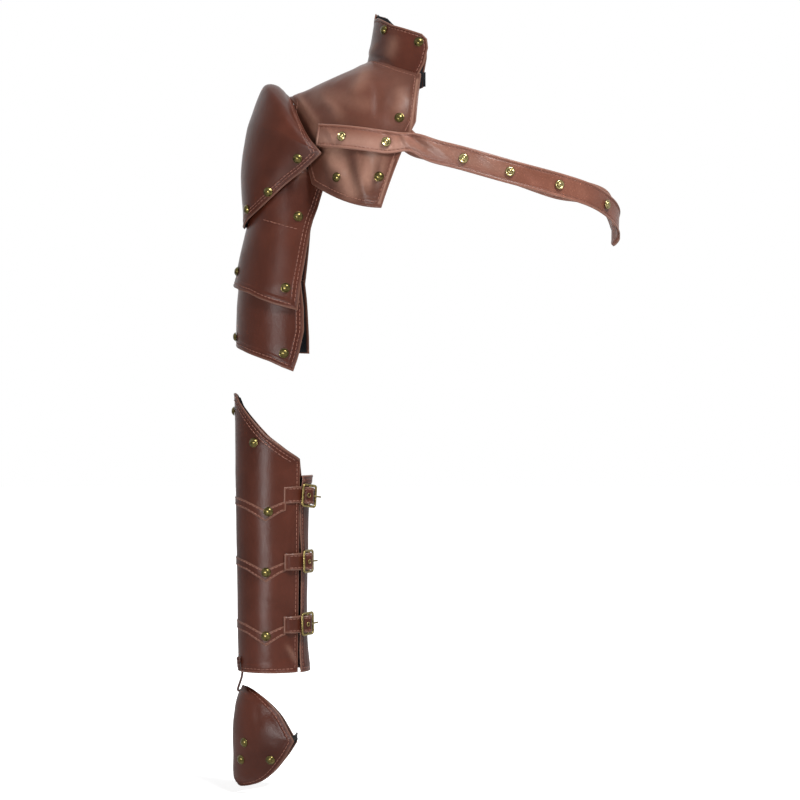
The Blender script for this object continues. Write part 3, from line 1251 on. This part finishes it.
rivetBodies = {"yoke_rivets": "harness", "collar_rivets": "harness", "strap_studs": "harness",
               "cap_rivets": "pauldron", "plate_rivets": "pauldron", "lower_rivets": "lower_arm_plate",
               "bracer_rivets": "bracer_body", "guard_rivets": "guard"}
for node, body in rivetBodies.items():
    kind, brass = ("stud", studBrass) if node == "strap_studs" else ("dome", agedBrass)
    rivetSet(node.title().replace("_", ""), node, body, kind, brass)
print("rivets made")


# lace from the bracer to the hand guard, and its knot
laceShape = {"top": [-43.3, -13.5, -520], "turn": [-49.95, 0, -550], "inside": [-43.9, 0, -550], "thick": 2.3}
laceRun = [laceShape["top"], [-44.7, -8.5, -525.5], [-45.4, -3.4, -531.5], [-46.3, -0.8, -537],
           [-48.6, -0.6, -544], [-50.1, 0, -548.6], laceShape["turn"], [-48.6, 0, -550.6], [-46, 0, -550.2],
           laceShape["inside"]]
laceLine = curveAt(laceRun, np.linspace(0, 1, 73))
lace = tubePiece("lace", laceLine, laceShape["thick"] / 2, laceLeather, sides=12, step=0.8)
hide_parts("bracer_lace", "hand_lace")
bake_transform(lace)
laceLength = float(runOf(laceLine)[-1]) * mm
print("lace runs", round(laceLength, 4), "m")
knotShape = {"angle": 155, "z": -519, "off": 1.6, "wire": 1.0, "tails": [(1.6, -9.5), (-1.2, -7.5)],
             "loops": [(0.2, 2.3, 0.0), (-0.6, 2.0, 1.4), (1.0, 1.8, -1.5)],
             "guardAt": (-44.0, 0, -550), "guardR": 1.2, "thin": 0.95}
knotOut, knotSide = outAndSide(knotShape["angle"])
knotSide = -knotSide
knotR = bracerRadius(knotShape["z"]) + knotShape["off"]
knotAt = np.array([bracerShape["x"], 0, knotShape["z"]]) + knotOut * knotR
knotParts = []
for index, (tilt, size, shift) in enumerate(knotShape["loops"]):
    turns = np.radians(np.arange(0, 360, 12))
    flatSpokes = np.cos(turns)[:, None] * (knotSide * math.cos(tilt) + knotOut * math.sin(tilt) * 0.5)
    spokes = flatSpokes + np.sin(turns)[:, None] * upward
    centre = knotAt + knotOut * (0.5 * index) + shift * upward
    loop = centre + size * spokes
    loop = loopPiece("knotLoop" + str(index), loop, spokes, knotShape["wire"], laceLeather, sides=8)
    knotParts.append(loop)
for index, (lean, drop) in enumerate(knotShape["tails"]):
    tail = [knotAt + knotOut * 0.4, knotAt + knotOut * 0.8 + knotSide * lean * 0.6 + [0, 0, drop * 0.45],
            knotAt + knotOut * 0.3 + knotSide * lean + [0, 0, drop]]
    tail = curveAt(tail, np.linspace(0, 1, 19))
    knotParts.append(tubePiece("knotTail" + str(index), tail, knotShape["thin"], laceLeather, sides=10))
through = curveAt([knotAt + knotOut * 0.5, knotAt - knotOut * 1.5, laceShape["top"]], np.linspace(0, 1, 13))
knotParts.append(tubePiece("knotThrough", through, knotShape["wire"], laceLeather, sides=10))
finishPiece(joined("laceKnot", knotParts), "bracer_body", "lace_leather")
turns = np.radians(np.arange(0, 360, 15))
endSpokes = np.stack([0 * turns, np.cos(turns), np.sin(turns)], 1)
endRing = np.array(knotShape["guardAt"]) + knotShape["guardR"] * endSpokes
endKnot = loopPiece("guardKnot", endRing, endSpokes, knotShape["thin"], laceLeather, sides=8)
finishPiece(endKnot, "guard", "lace_leather")


# elastic across the hand guard
elasticSettings = {**narrowPanel, "welt": 0.8, "weltHigh": 0.1, "thick": 1.1, "step": 1.2,
                   "material": elasticCloth}
elasticShape = {"z": -592, "wide": 6, "fall": 0.262,
                "path": [[5.5, -40.5], [4.5, -35], [6.8, -24], [8, -10], [8.2, 0], [8, 10], [6.8, 24],
                         [4.5, 35], [5.5, 40.5]]}


def elasticPoint(u, v):
    s = elasticShape
    q = curveAt(s["path"], 1 - v)
    return stack(q[:, 0], q[:, 1], s["z"] - s["wide"] * u - s["fall"] * np.maximum(0, q[:, 1]))


elastic = leatherPanel("fingerElastic", elasticPoint, elasticSettings)[0]
finishPiece(elastic, "guard", "black_elastic", "finger_elastic")


# CAD pieces that keep their own shape take their finish here
for nodeName, material in (("cap_tongue", brownLeather), ("neck_tab", blackCloth)):
    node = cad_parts[nodeName]
    for slot in node.material_slots:
        slot.material = material
    if not node.material_slots:
        node.data.materials.append(material)
print("finishes set")
